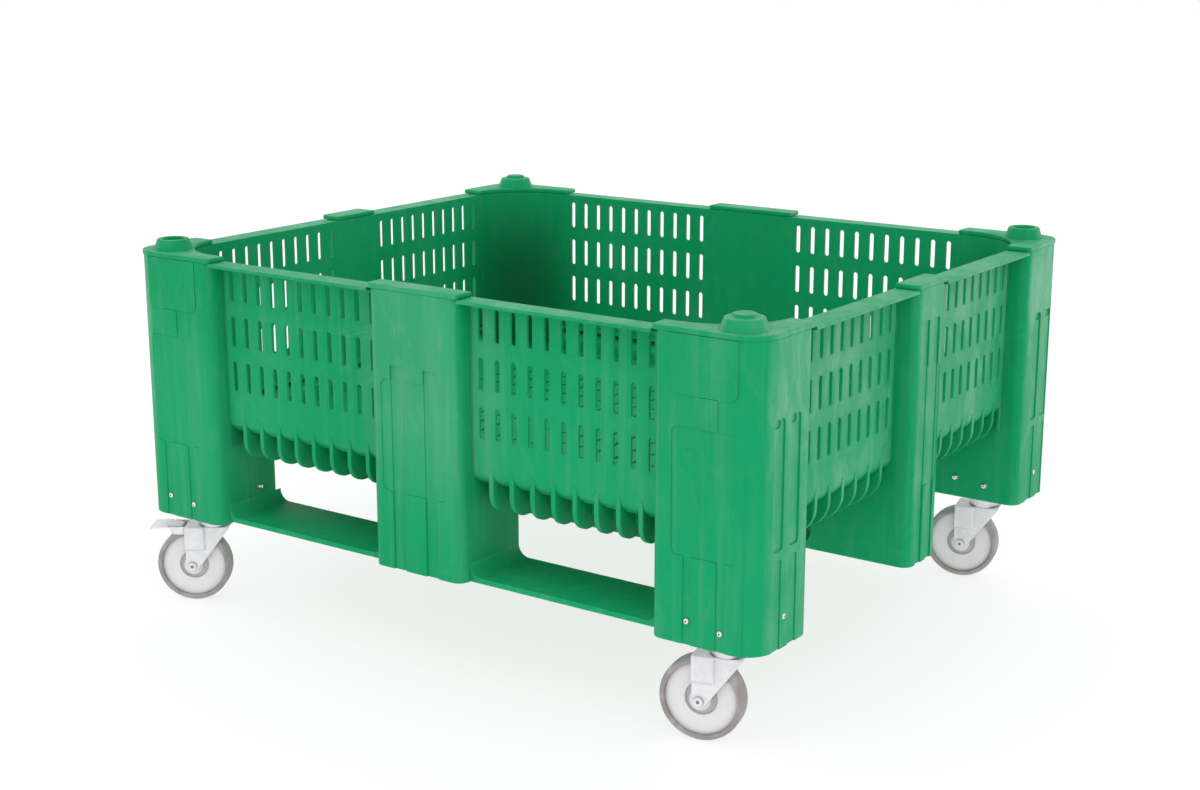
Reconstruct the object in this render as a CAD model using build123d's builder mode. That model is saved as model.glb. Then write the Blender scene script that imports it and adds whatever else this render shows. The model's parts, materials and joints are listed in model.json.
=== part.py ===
from build123d import *
import math
import os

os.makedirs("parts", exist_ok=True)

# Box: millimetres, origin on the ground below its centre, X along the long sides
box_length = 1200.0
box_width = 1000.0
leg_height = 127.0
tub_height = 306.0
wall = 4.0
skin = 6.0

# Walls: the tub stands back from the outer faces of the posts
long_post_depth = 32.5
short_post_depth = 36.5
tub_radius = 115.0
foot_radius = 50.0
foot_flats = 3
lip_thickness = 5.5

# Wall slots
slot_width = 9.0
slot_length = 50.0
slot_pitch = 30.0
slot_rows = 3
slot_row_pitch = 74.0
slot_margin = 12.0
slot_middle_height = 193.0

# Ribs below the floor and up the foot of each wall
rib_thickness = 8.0
rib_depth = 23.0
rib_proud = 1.0
rib_rise = 4.0
rib_margin = 30.0
long_rib_pitch = 38.0
short_rib_pitch = 40.0

# Posts, legs and caps
corner_length = 177.0
corner_width = 142.0
corner_radius = 45.0
long_post_width = 174.0
short_post_width = 98.0
short_leg_depth = 172.0
post_edge = 20.0
cap_height = 8.0
cap_edge = 7.0
hollow_corner = 24.0
hollow_edge = 8.0

# Upright grooves in the outer faces of the posts
groove_depth = 3.5
groove_height = 320.0
long_groove_width = 24.0
long_groove_offset = 32.0
short_groove_width = 16.0
short_groove_offset = 17.0
corner_groove_width = 26.0
corner_groove_offset = 21.0
recess_depth = 2.0
recess_width = 106.0

# Stacking knobs on the corner caps
knob_inset_x = 55.0
knob_inset_y = 42.5
knob_base_radius = 31.0
knob_top_radius = 25.5
knob_sides = 24
knob_height = 17.0
knob_recess_radius = 18.0
knob_recess_depth = 9.0
stub_radius = 17.0
stub_height = 5.0

# Runner planks
runner_thickness = 8.0
runner_setback = 23.0
runner_fillet = 20.0

# Castors: swivel axis over the leg centre, wheel trailing behind it
wheel_diameter = 125.0
tyre_width = 32.0
seat_radius = 52.0
seat_sides = 30
disc_width = 21.0
hub_radius = 16.0
hub_sides = 16
hub_width = 37.0
castor_trail = 36.0
castor_height = 165.0
fork_gap = 38.0
fork_thickness = 3.5
fork_end_radius = 11.0
fork_front = 27.0
fork_front_drop = 3.0
crown_thickness = 4.0
plate_length = 105.0
plate_width = 85.0
plate_thickness = 5.0
race_radius = 30.0
race_neck = 24.0
race_sides = 24
race_depth = 27.5
swivel_gap = 0.5
king_radius = 6.0
king_head_radius = 10.0
king_head_height = 5.0
axle_radius = 6.0
axle_head_radius = 7.5
axle_head_height = 5.0
hex_sides = 6
running_clearance = 0.06

# Angles that the castors stand at
front_right_swing = 13.8
front_left_swing = 33.0
back_right_swing = 13.6
back_left_swing = 38.0

# Steel tray in each corner leg
tray_thickness = 4.0
tray_height = 60.0
tray_clearance = 0.5

# Brake pedals
pedal_reach = 106.0
pedal_width = 44.0
pedal_arm_width = 30.0
pedal_thickness = 3.0
pedal_drop = 2.0
pivot_x = -60.0
pivot_z = 127.0
pivot_radius = 3.0
pedal_hub = 5.0
pedal_lobe = 9.0
lug_reach = 72.0
lug_depth = 13.0

# Levels and faces that follow from these
half_length = box_length / 2
half_width = box_width / 2
leg_bottom = castor_height
floor_under = leg_bottom + leg_height
foot_top = floor_under + foot_radius
rim_top = floor_under + tub_height
cap_top = rim_top + cap_height
rib_bottom = floor_under - rib_depth
groove_top = leg_bottom + groove_height
long_face = half_width - long_post_depth
short_face = half_length - short_post_depth
corner_x = half_length - corner_length
corner_y = half_width - corner_width
leg_x = half_length - corner_length / 2
leg_y = half_width - corner_width / 2
short_flat = long_face - wall - tub_radius
long_half = long_post_width / 2
short_half = short_post_width / 2
short_leg_inner = half_length - short_leg_depth


def keep(piece, name):
    """Name a finished piece and write its STEP file."""
    piece.part.label = name
    export_step(piece.part, "parts/" + name + ".step")


def turned(piece, name, angle):
    """Turn a side piece that was drawn facing +Y to its own side of the box."""
    with BuildPart() as placed:
        add(piece.part, rotation=(0, 0, angle))
    keep(placed, name)


def spread(count, pitch, centre):
    """Places of one row of repeats about a panel centre."""
    return [centre + (k - (count - 1) / 2) * pitch for k in range(count)]


def rib_places(post_half, panel_end, pitch):
    """Rib places along one panel between a mid post and a corner post."""
    room = panel_end - post_half - rib_thickness - 2 * rib_margin
    return spread(int(room / pitch) + 1, pitch, (panel_end + post_half) / 2)


def quarter(y, z, radius):
    """Points of a quarter round in flats, from its outer side down to its underside."""
    turns = [k * math.pi / 2 / foot_flats for k in range(foot_flats + 1)]
    return [(y + radius * math.cos(turn), z - radius * math.sin(turn)) for turn in turns]


def both(places):
    """The same places on both sides of the middle."""
    return [-p for p in places] + places


# Walls: plate and curved foot in one section, rim lip, ribs and slots
def side_wall(face, outer, post_half, plate_half, panel_end, rib_pitch):
    panel = panel_end - post_half
    centre = (panel_end + post_half) / 2
    columns = int((panel - slot_width - 2 * slot_margin) / slot_pitch) + 1
    foot_y = face - foot_radius
    rib_face = face + rib_proud
    with BuildPart() as plate:
        with BuildSketch(Plane.YZ.offset(-plate_half)):
            with BuildLine():
                outside = quarter(foot_y, foot_top, foot_radius)
                inside = quarter(foot_y, foot_top, foot_radius - wall)
                Polyline((face - wall, rim_top), (face, rim_top), *outside, *reversed(inside),
                         close=True)
            make_face()
        extrude(amount=2 * plate_half)
        with BuildSketch(Plane.XY.offset(rim_top)):
            with Locations((-centre, (face + outer) / 2), (centre, (face + outer) / 2)):
                Rectangle(panel, outer - face)
        extrude(amount=-lip_thickness)
        for place in both(rib_places(post_half, panel_end, rib_pitch)):
            with BuildSketch(Plane.YZ.offset(place)):
                with BuildLine():
                    edge = quarter(rib_face - foot_radius, rib_bottom + foot_radius, foot_radius)
                    root = quarter(foot_y, foot_top, foot_radius - wall / 2)
                    Polyline((face - wall / 2, foot_top + rib_rise), (rib_face, foot_top + rib_rise),
                             *edge, (foot_y, rib_bottom), *reversed(root), close=True)
                make_face()
            extrude(amount=rib_thickness / 2, both=True)
        with BuildSketch(Plane.XZ.offset(-face)):
            with GridLocations(2 * centre, 0, 2, 1), Locations((0, floor_under + slot_middle_height)):
                with GridLocations(slot_pitch, slot_row_pitch, columns, slot_rows):
                    Rectangle(slot_width, slot_length)
        extrude(amount=2 * wall, both=True, mode=Mode.SUBTRACT)
    return plate


long_wall = side_wall(long_face, half_width, long_half, corner_x, corner_x, long_rib_pitch)
turned(long_wall, "wall_back", 0)
turned(long_wall, "wall_front", 180)
short_wall = side_wall(short_face, half_length, short_half, short_flat, corner_y, short_rib_pitch)
turned(short_wall, "wall_right", -90)
turned(short_wall, "wall_left", 90)

# Floor with the underside ribs that carry on from the wall ribs
long_ribs = rib_places(long_half, corner_x, long_rib_pitch)
short_ribs = rib_places(short_half, corner_y, short_rib_pitch)
floor_end_x = short_face - foot_radius
floor_end_y = long_face - foot_radius
last_rib = long_ribs[-1]
with BuildPart() as floor:
    with BuildSketch(Plane.XY.offset(floor_under)):
        RectangleRounded(2 * (short_face - wall), 2 * (long_face - wall), tub_radius)
        with GridLocations(0, 2 * (floor_end_y + foot_radius / 2), 1, 2):
            Rectangle(2 * (corner_x + wall), foot_radius, mode=Mode.SUBTRACT)
        with GridLocations(2 * (floor_end_x + foot_radius / 2), 0, 2, 1):
            Rectangle(foot_radius, 2 * (short_flat + wall), mode=Mode.SUBTRACT)
    extrude(amount=wall)
    with BuildSketch(Plane.XY.offset(floor_under)):
        for place in both(long_ribs):
            with Locations((place, 0)):
                Rectangle(rib_thickness, 2 * floor_end_y)
        for place in both(short_ribs):
            with GridLocations(last_rib + floor_end_x, 0, 2, 1):
                with Locations((0, place)):
                    Rectangle(floor_end_x - last_rib, rib_thickness)
    extrude(amount=-rib_depth)
keep(floor, "tub_floor")


# Mid posts: an open channel against the wall under a flat cap
def mid_post(face, outer, half, groove_width, groove_offset):
    with BuildPart() as post:
        with BuildSketch(Plane.XY.offset(foot_top)) as plan:
            with Locations((0, (face + outer) / 2)):
                Rectangle(2 * half, outer - face)
            fillet(plan.vertices().group_by(Axis.Y)[-1], post_edge)
        extrude(amount=rim_top - foot_top)
        with BuildSketch(Plane.XY.offset(foot_top)) as hollow:
            with Locations((0, (face + outer - skin) / 2)):
                Rectangle(2 * (half - skin), outer - skin - face)
            chamfer(hollow.vertices().group_by(Axis.Y)[-1], hollow_edge)
        extrude(amount=rim_top - foot_top, mode=Mode.SUBTRACT)
        with BuildSketch(Plane.XY.offset(rim_top)) as cap:
            with Locations((0, (face - wall + outer) / 2)):
                Rectangle(2 * half, outer - face + wall)
            fillet(cap.vertices().group_by(Axis.Y)[-1], cap_edge)
        extrude(amount=cap_height)
        with BuildSketch(Plane.XZ.offset(-outer)):
            with Locations((0, (foot_top + groove_top) / 2)):
                with GridLocations(2 * groove_offset, 0, 2, 1):
                    Rectangle(groove_width, groove_top - foot_top)
        extrude(amount=groove_depth, mode=Mode.SUBTRACT)
    return post


long_post = mid_post(long_face, half_width, long_half, long_groove_width, long_groove_offset)
turned(long_post, "mid_post_back", 0)
turned(long_post, "mid_post_front", 180)
short_post = mid_post(short_face, half_length, short_half, short_groove_width, short_groove_offset)
turned(short_post, "mid_post_right", -90)
turned(short_post, "mid_post_left", 90)


# Mid legs: a hollow block that reaches up under the curved foot of the wall
def leg_block(face, outer, inner, bottom, half):
    """Solid block of a mid leg, its top shaped to the foot of the wall."""
    foot = quarter(face - foot_radius, foot_top, foot_radius)
    with BuildPart() as block:
        with BuildSketch(Plane.YZ.offset(-half)):
            with BuildLine():
                Polyline((inner, floor_under), (inner, bottom), (outer, bottom), (outer, foot_top),
                         *foot, close=True)
            make_face()
        extrude(amount=2 * half)
    return block


def mid_leg(face, outer, half, inner, seat, groove_width, groove_offset):
    body = leg_block(face, outer, inner, leg_bottom, half)
    hollow = leg_block(face, outer - skin, inner + skin, leg_bottom + seat + skin, half - skin)
    with BuildPart() as room:
        add(hollow.part)
        chamfer(room.edges().filter_by(Axis.Z).group_by(Axis.Y)[-1], hollow_edge)
    with BuildPart() as leg:
        add(body.part)
        fillet(leg.edges().filter_by(Axis.Z).group_by(Axis.Y)[-1], post_edge)
        add(room.part, mode=Mode.SUBTRACT)
        if seat > 0:
            with BuildSketch(Plane.YZ.offset(-half)):
                with Locations((inner, leg_bottom)):
                    Rectangle(outer - runner_setback - inner, seat, align=(Align.MIN, Align.MIN))
            extrude(amount=2 * half, mode=Mode.SUBTRACT)
        with BuildSketch(Plane.XZ.offset(-outer)):
            with Locations((0, (leg_bottom + foot_top) / 2)):
                with GridLocations(2 * groove_offset, 0, 2, 1):
                    Rectangle(groove_width, foot_top - leg_bottom)
        extrude(amount=groove_depth, mode=Mode.SUBTRACT)
    return leg


long_leg = mid_leg(long_face, half_width, long_half, corner_y, runner_thickness,
                   long_groove_width, long_groove_offset)
turned(long_leg, "mid_leg_back", 0)
turned(long_leg, "mid_leg_front", 180)
short_leg = mid_leg(short_face, half_length, short_half, short_leg_inner, 0.0,
                    short_groove_width, short_groove_offset)
turned(short_leg, "mid_leg_right", -90)
turned(short_leg, "mid_leg_left", 90)

with BuildPart() as centre_leg:
    with BuildSketch(Plane.XY.offset(leg_bottom + runner_thickness)) as plan:
        Rectangle(long_post_width, short_post_width)
        chamfer(plan.vertices(), hollow_edge)
        Rectangle(long_post_width - 2 * skin, short_post_width - 2 * skin, mode=Mode.SUBTRACT)
    extrude(amount=leg_height - runner_thickness)
keep(centre_leg, "centre_leg")

# Corner plans, drawn at +X +Y: room in the tub, rounded block, its hollow and the end of the tub corner
with BuildSketch() as tub_inside:
    RectangleRounded(2 * (short_face - wall), 2 * (long_face - wall), tub_radius)
with BuildSketch() as block:
    with Locations((leg_x, leg_y)):
        Rectangle(corner_length, corner_width)
    outer_corner = block.vertices().group_by(Axis.X)[-1].sort_by(Axis.Y)[-1]
    fillet(outer_corner, corner_radius)
    inner_corners = block.vertices().group_by(Axis.X)[0]
    fillet(inner_corners + block.vertices().group_by(Axis.Y)[0].sort_by(Axis.X)[-1:], post_edge)
with BuildSketch() as hollow:
    with Locations((leg_x, leg_y)):
        Rectangle(corner_length - 2 * skin, corner_width - 2 * skin)
    outer_corner = hollow.vertices().group_by(Axis.X)[-1].sort_by(Axis.Y)[-1]
    chamfer(outer_corner, hollow_corner)
    inner_corners = hollow.vertices().group_by(Axis.X)[0]
    chamfer(inner_corners + hollow.vertices().group_by(Axis.Y)[0].sort_by(Axis.X)[-1:], hollow_edge)
with BuildSketch() as strip:
    with Locations((short_face - wall, (short_flat + corner_y) / 2)):
        Rectangle(2 * wall, corner_y - short_flat)
    RectangleRounded(2 * short_face, 2 * long_face, tub_radius + wall, mode=Mode.INTERSECT)


# Corner posts: tub corner, outer faces, cap and stacking knob
def corner_post(raised):
    knob_x = half_length - knob_inset_x
    knob_y = half_width - knob_inset_y
    with BuildPart() as post:
        with BuildSketch(Plane.XY.offset(floor_under)):
            add(block.sketch)
            add(strip.sketch)
            add(tub_inside.sketch, mode=Mode.SUBTRACT)
        extrude(amount=tub_height)
        with BuildSketch(Plane.XY.offset(floor_under)):
            add(hollow.sketch)
            RectangleRounded(2 * short_face, 2 * long_face, tub_radius + wall, mode=Mode.SUBTRACT)
        extrude(amount=tub_height, mode=Mode.SUBTRACT)
        with BuildSketch(Plane.XY.offset(rim_top)):
            add(block.sketch)
            add(tub_inside.sketch, mode=Mode.SUBTRACT)
        extrude(amount=cap_height)
        with BuildSketch(Plane.XY.offset(cap_top)):
            with Locations((knob_x, knob_y)):
                RegularPolygon(knob_base_radius, knob_sides)
        with BuildSketch(Plane.XY.offset(cap_top + knob_height)):
            with Locations((knob_x, knob_y)):
                RegularPolygon(knob_top_radius, knob_sides)
        loft(ruled=True)
        with BuildSketch(Plane.XY.offset(cap_top + knob_height)):
            with Locations((knob_x, knob_y)):
                RegularPolygon(stub_radius if raised else knob_recess_radius, knob_sides)
        if raised:
            extrude(amount=stub_height)
        else:
            extrude(amount=-knob_recess_depth, mode=Mode.SUBTRACT)
        with BuildSketch(Plane.YZ.offset(half_length)):
            with Locations((leg_y, (floor_under + groove_top) / 2)):
                with GridLocations(2 * corner_groove_offset, 0, 2, 1):
                    Rectangle(corner_groove_width, groove_top - floor_under)
        extrude(amount=-groove_depth, mode=Mode.SUBTRACT)
        with BuildSketch(Plane.XZ.offset(-half_width)):
            with Locations((leg_x, (floor_under + groove_top) / 2)):
                Rectangle(recess_width, groove_top - floor_under)
        extrude(amount=recess_depth, mode=Mode.SUBTRACT)
        # Ends of the curved wall feet, closed against the tub corner
        with BuildSketch(Plane.YZ.offset(corner_x)):
            with BuildLine():
                inside = quarter(floor_end_y, foot_top, foot_radius - wall)
                Polyline((long_face - wall, floor_under), *inside, (floor_end_y, floor_under),
                         close=True)
            make_face()
        extrude(amount=wall)
        with BuildSketch(Plane.XZ.offset(-short_flat)):
            with BuildLine():
                inside = quarter(floor_end_x, foot_top, foot_radius - wall)
                Polyline((short_face - wall, floor_under), *inside, (floor_end_x, floor_under),
                         close=True)
            make_face()
        extrude(amount=-wall)
    return post


plain_post = corner_post(False)
raised_post = corner_post(True)
with BuildPart() as corner_posts:
    add(plain_post.part)
    add(plain_post.part, rotation=(0, 0, 180))
    mirror(raised_post.part, about=Plane.XZ)
    mirror(raised_post.part, about=Plane.YZ)
keep(corner_posts, "corner_posts")

# Corner legs: hollow columns below the floor
with BuildPart() as one_leg:
    with BuildSketch(Plane.XY.offset(leg_bottom)):
        add(block.sketch)
        add(hollow.sketch, mode=Mode.SUBTRACT)
    extrude(amount=leg_height)
    with BuildSketch(Plane.YZ.offset(half_length)):
        with Locations((leg_y, leg_bottom + leg_height / 2)):
            with GridLocations(2 * corner_groove_offset, 0, 2, 1):
                Rectangle(corner_groove_width, leg_height)
    extrude(amount=-groove_depth, mode=Mode.SUBTRACT)
    with BuildSketch(Plane.XZ.offset(-half_width)):
        with Locations((leg_x, leg_bottom + leg_height / 2)):
            Rectangle(recess_width, leg_height)
    extrude(amount=recess_depth, mode=Mode.SUBTRACT)
with BuildPart() as corner_legs:
    add(one_leg.part)
    mirror(about=Plane.XZ)
    mirror(about=Plane.YZ)
keep(corner_legs, "corner_legs")


# Runner planks: one section along X with a rounded rise at every leg
def runner(name, end, near, far):
    top = leg_bottom + runner_thickness
    rise = top + runner_fillet
    with BuildPart() as plank:
        with BuildSketch(Plane.XZ.offset(-far)):
            with BuildLine():
                Polyline((end, leg_bottom), (end, rise))
                CenterArc((end - runner_fillet, rise), runner_fillet, 0, -90)
                Line((end - runner_fillet, top), (long_half + runner_fillet, top))
                CenterArc((long_half + runner_fillet, rise), runner_fillet, -90, -90)
                Polyline((long_half, rise), (long_half, top), (-long_half, top), (-long_half, rise))
                CenterArc((-long_half - runner_fillet, rise), runner_fillet, 0, -90)
                Line((-long_half - runner_fillet, top), (runner_fillet - end, top))
                CenterArc((runner_fillet - end, rise), runner_fillet, -90, -90)
                Polyline((-end, rise), (-end, leg_bottom), (end, leg_bottom))
            make_face()
        extrude(amount=far - near)
    keep(plank, name)


runner("runner_back", corner_x, corner_y, half_width - runner_setback)
runner("runner_front", corner_x, runner_setback - half_width, -corner_y)
runner("runner_centre", short_leg_inner, -short_half, short_half)

# Steel trays in the corner legs
with BuildPart() as one_tray:
    with BuildSketch(Plane.XY.offset(leg_bottom)):
        add(hollow.sketch)
        offset(amount=-tray_clearance, mode=Mode.REPLACE)
    extrude(amount=tray_height)
    with BuildSketch(Plane.XY.offset(leg_bottom + tray_thickness)):
        add(hollow.sketch)
        offset(amount=-tray_clearance - tray_thickness, mode=Mode.REPLACE)
    extrude(amount=tray_height - tray_thickness, mode=Mode.SUBTRACT)
with BuildPart() as trays:
    add(one_tray.part)
    mirror(about=Plane.XZ)
    mirror(about=Plane.YZ)
keep(trays, "castor_trays")

# Castors, drawn with the swivel axis at the origin and the wheel towards -X
wheel_radius = wheel_diameter / 2
crown_top = castor_height - plate_thickness - race_depth - swivel_gap
crown_under = crown_top - crown_thickness
fork_half = fork_gap / 2
cheek_face = fork_half + fork_thickness
fork_back = -castor_trail - fork_end_radius

# Mounting plate with its race, which narrows to the crown, and the king bolt riveted into it
with BuildPart() as plate:
    with BuildSketch(Plane.XY.offset(castor_height)):
        Rectangle(plate_length, plate_width)
    extrude(amount=-plate_thickness)
    with BuildSketch(Plane.XY.offset(castor_height - plate_thickness)):
        RegularPolygon(race_radius, race_sides)
    with BuildSketch(Plane.XY.offset(crown_top + swivel_gap)):
        RegularPolygon(race_neck, race_sides)
    loft(ruled=True)
    with BuildSketch(Plane.XY.offset(crown_top + swivel_gap)):
        Circle(king_radius)
    extrude(amount=-crown_thickness - 2 * swivel_gap)
    with BuildSketch(Plane.XY.offset(crown_under - swivel_gap)):
        RegularPolygon(king_head_radius, hex_sides)
    extrude(amount=-king_head_height)

# Fork: two cheeks that narrow to the axle, under a flat crown, with the axle riveted across
reach_x = fork_front + castor_trail
reach_z = crown_top - fork_front_drop - wheel_radius
lean = math.atan2(reach_z, reach_x) - math.acos(fork_end_radius / math.hypot(reach_x, reach_z))
end_x = -castor_trail + fork_end_radius * math.cos(lean)
end_z = wheel_radius + fork_end_radius * math.sin(lean)
with BuildPart() as fork:
    with BuildSketch(Plane.XZ.offset(-cheek_face)):
        with BuildLine():
            Polyline((fork_back, wheel_radius), (fork_back, crown_top), (fork_front, crown_top),
                     (fork_front, crown_top - fork_front_drop), (end_x, end_z))
            CenterArc((-castor_trail, wheel_radius), fork_end_radius, 180, 180 + math.degrees(lean))
        make_face()
    extrude(amount=2 * cheek_face)
    with BuildSketch(Plane.XZ.offset(-fork_half)):
        with Locations(((fork_back + fork_front) / 2, crown_under)):
            Rectangle(2 * (fork_front - fork_back), 2 * crown_under, align=(Align.CENTER, Align.MAX))
    extrude(amount=fork_gap, mode=Mode.SUBTRACT)
    with BuildSketch(Plane.XY.offset(crown_top)):
        Circle(king_radius + running_clearance)
    extrude(amount=-crown_thickness, mode=Mode.SUBTRACT)
    with BuildSketch(Plane.XZ.offset(-fork_half)):
        with Locations((-castor_trail, wheel_radius)):
            Circle(axle_radius)
    extrude(amount=fork_gap)
    for side in (-cheek_face - axle_head_height, cheek_face):
        with BuildSketch(Plane.XZ.offset(side)):
            with Locations((-castor_trail, wheel_radius)):
                RegularPolygon(axle_head_radius, hex_sides)
        extrude(amount=axle_head_height)

# Braked fork: lugs that reach back over the tyre, and the cross pin of the pedal
with BuildPart() as braked_fork:
    add(fork.part)
    with BuildSketch(Plane.XZ.offset(-cheek_face)):
        with BuildLine():
            Polyline((fork_back, crown_top), (-lug_reach, crown_top),
                     (-lug_reach, crown_top - lug_depth / 2),
                     (-lug_reach + lug_depth / 2, crown_top - lug_depth),
                     (fork_back, crown_top - lug_depth), close=True)
        make_face()
    extrude(amount=2 * cheek_face)
    with BuildSketch(Plane.XZ.offset(-fork_half)):
        with Locations((-lug_reach, crown_top)):
            Rectangle(lug_reach + fork_back, lug_depth, align=(Align.MIN, Align.MAX))
    extrude(amount=fork_gap, mode=Mode.SUBTRACT)
    with BuildSketch(Plane.XZ.offset(-fork_half)):
        with Locations((pivot_x, pivot_z)):
            Circle(pivot_radius)
    extrude(amount=fork_gap)

# Wheel: a disc with a longer hub, set back inside the tyre
with BuildPart() as core:
    with BuildSketch(Plane.XZ.offset(-disc_width / 2)):
        with Locations((-castor_trail, wheel_radius)):
            RegularPolygon(seat_radius, seat_sides)
    extrude(amount=disc_width)
    with BuildSketch(Plane.XZ.offset(-hub_width / 2)):
        with Locations((-castor_trail, wheel_radius)):
            RegularPolygon(hub_radius, hub_sides)
    extrude(amount=hub_width)
    with BuildSketch(Plane.XZ.offset(-hub_width / 2)):
        with Locations((-castor_trail, wheel_radius)):
            Circle(axle_radius + running_clearance)
    extrude(amount=hub_width, mode=Mode.SUBTRACT)

with BuildPart() as tyre:
    with BuildSketch(Plane.XZ.offset(-tyre_width / 2)):
        with Locations((-castor_trail, wheel_radius)):
            Circle(wheel_radius)
            RegularPolygon(seat_radius, seat_sides, mode=Mode.SUBTRACT)
    extrude(amount=tyre_width)

# Brake pedal: hub on the cross pin, a lobe over the tyre and a tongue behind the lugs
tongue_x = -lug_reach - pedal_thickness
tongue_z = pivot_z + pedal_thickness
with BuildPart() as pedal:
    with BuildSketch(Plane.XZ.offset(-pedal_arm_width / 2)):
        with BuildLine():
            Polyline((pivot_x + pedal_hub, pivot_z + pedal_thickness), (pivot_x, pivot_z + pedal_hub),
                     (pivot_x - pedal_hub, pivot_z + pedal_hub), (tongue_x, tongue_z + pedal_thickness),
                     (tongue_x, tongue_z - pedal_thickness), (pivot_x - pedal_lobe, pivot_z - pedal_hub),
                     (pivot_x, pivot_z - pedal_hub), (pivot_x + pedal_hub, pivot_z - pedal_thickness),
                     close=True)
        make_face()
        with Locations((pivot_x, pivot_z)):
            Circle(pivot_radius + running_clearance, mode=Mode.SUBTRACT)
    extrude(amount=pedal_arm_width)
    with BuildSketch(Plane.XZ.offset(-pedal_width / 2)):
        with BuildLine():
            Polyline((tongue_x, tongue_z + pedal_thickness), (tongue_x, tongue_z),
                     (-pedal_reach, tongue_z - pedal_drop),
                     (-pedal_reach, tongue_z - pedal_drop + pedal_thickness), close=True)
        make_face()
    extrude(amount=pedal_width)


def at_leg(piece, sign_x, sign_y, angle):
    """Place a castor piece under a corner leg with the castor swung to an angle."""
    with BuildPart() as placed:
        with Locations(Location((sign_x * leg_x, sign_y * leg_y, 0), (0, 0, angle))):
            add(piece.part)
    return placed


def castor(place, sign_x, sign_y, angle, braked):
    if braked:
        keep(at_leg(braked_fork, sign_x, sign_y, angle), "fork_" + place)
        keep(at_leg(pedal, sign_x, sign_y, angle), "brake_pedal_" + place)
    else:
        keep(at_leg(fork, sign_x, sign_y, angle), "fork_" + place)
    keep(at_leg(core, sign_x, sign_y, angle), "wheel_core_" + place)
    keep(at_leg(tyre, sign_x, sign_y, angle), "tyre_" + place)


castor("front_right", 1, -1, front_right_swing, False)
castor("front_left", -1, -1, front_left_swing, True)
castor("back_right", 1, 1, back_right_swing, False)
castor("back_left", -1, 1, back_left_swing, True)

with BuildPart() as plates:
    with GridLocations(2 * leg_x, 2 * leg_y, 2, 2):
        add(plate.part)
keep(plates, "castor_plates")
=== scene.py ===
import json
import math

import bmesh
import bpy
from mathutils import Matrix, Vector

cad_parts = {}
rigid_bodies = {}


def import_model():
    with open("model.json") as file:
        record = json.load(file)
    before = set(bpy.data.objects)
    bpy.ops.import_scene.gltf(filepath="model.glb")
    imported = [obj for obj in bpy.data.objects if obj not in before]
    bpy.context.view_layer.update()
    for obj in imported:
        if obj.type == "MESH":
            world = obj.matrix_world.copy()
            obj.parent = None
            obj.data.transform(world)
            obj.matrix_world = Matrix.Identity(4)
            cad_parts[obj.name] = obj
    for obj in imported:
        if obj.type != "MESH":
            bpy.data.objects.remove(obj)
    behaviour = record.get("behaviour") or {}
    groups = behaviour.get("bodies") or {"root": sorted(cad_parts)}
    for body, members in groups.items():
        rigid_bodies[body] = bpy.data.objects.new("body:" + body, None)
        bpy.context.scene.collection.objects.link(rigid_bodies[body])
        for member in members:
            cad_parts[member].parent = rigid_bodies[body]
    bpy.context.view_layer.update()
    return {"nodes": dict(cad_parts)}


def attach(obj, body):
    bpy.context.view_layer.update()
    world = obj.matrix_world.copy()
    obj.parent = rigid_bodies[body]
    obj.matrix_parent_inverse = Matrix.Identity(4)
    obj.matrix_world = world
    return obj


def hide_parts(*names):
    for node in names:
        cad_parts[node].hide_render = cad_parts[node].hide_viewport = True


bpy.ops.object.select_all(action="SELECT")
bpy.ops.object.delete()
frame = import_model()

# Main sizes of the box, in millimetres like the other sizes in this first part
MM = 0.001
HALF_LENGTH = 600.0
HALF_WIDTH = 500.0
LONG_FACE = 467.5
SHORT_FACE = 563.5
WALL = 4.0
LEG_BOTTOM = 165.0
FLOOR_UNDER = 292.0
RIM_TOP = 598.0
CAP_TOP = 606.0
CORNER_X = 423.0
CORNER_Y = 358.0
SHORT_FLAT = 348.5
LONG_POST = 87.0
SHORT_POST = 49.0
SHORT_LEG_INNER = 428.0
LEG_X = 511.5
LEG_Y = 429.0
CORNERS = {"front_right": (1, -1), "front_left": (-1, -1), "back_right": (1, 1), "back_left": (-1, 1)}
TURN = {"front": 0.0, "right": 90.0, "back": 180.0, "left": -90.0}

# The foot of a wall: its bend, the ledge above it, the kerb at its inner end and the ribs below
FOOT_DEPTH = 50.0
FOOT_TOP = 342.0
BEND = 20.0
BEND_TOP = 338.0
LEDGE = 320.0
BEND_STEPS = 7
DRAWN_BELOW = 333.0
FOOT_UNDER = 293.0
FOOT_ROOM_TOP = 432.0
FOOT_ROOM_STEPS = 6
FOOT_END_TOP = 339.0
FOOT_END_GAP = 0.4
KERB = 14.0
KERB_RISE = 2.5
RIB_BOTTOM = 273.5
RIB_HALF = 4.0
RIB_SHIFT = 1.0
RIB_ROOM = 20.0
RIB_STEPS = 9
CREASE_TURN = 1.2
CREASE_PROUD = 0.3
CREASE_HALF = 0.6
BEAD_WIDTH = 2.0
BEAD_PROUD = 1.2
LIP = 5.5

# Slots of the walls and drain slots of the floor
SLOT_RADIUS = 4.5
SLOT_SIDES = 14
SLOT_TOOL = 30.0
SLOT_LOW = 390.5
SLOT_RUN = 41.0
SLOT_PITCH = 30.0
SLOT_ROWS = 3
SLOT_ROW_PITCH = 74.0
DRAIN_GROUPS = ((-369.0, 7), (-95.0, 6), (141.0, 7))
DRAIN_START = -399.0
DRAIN_RUN = 28.0
DRAIN_PITCH = 38.0
DRAIN_ROWS = 15
DRAIN_ROW_PITCH = 55.0
BLIND_HALF = (87.0, 49.0)
BLIND_LEVELS = (0.6, 2.4)

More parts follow.
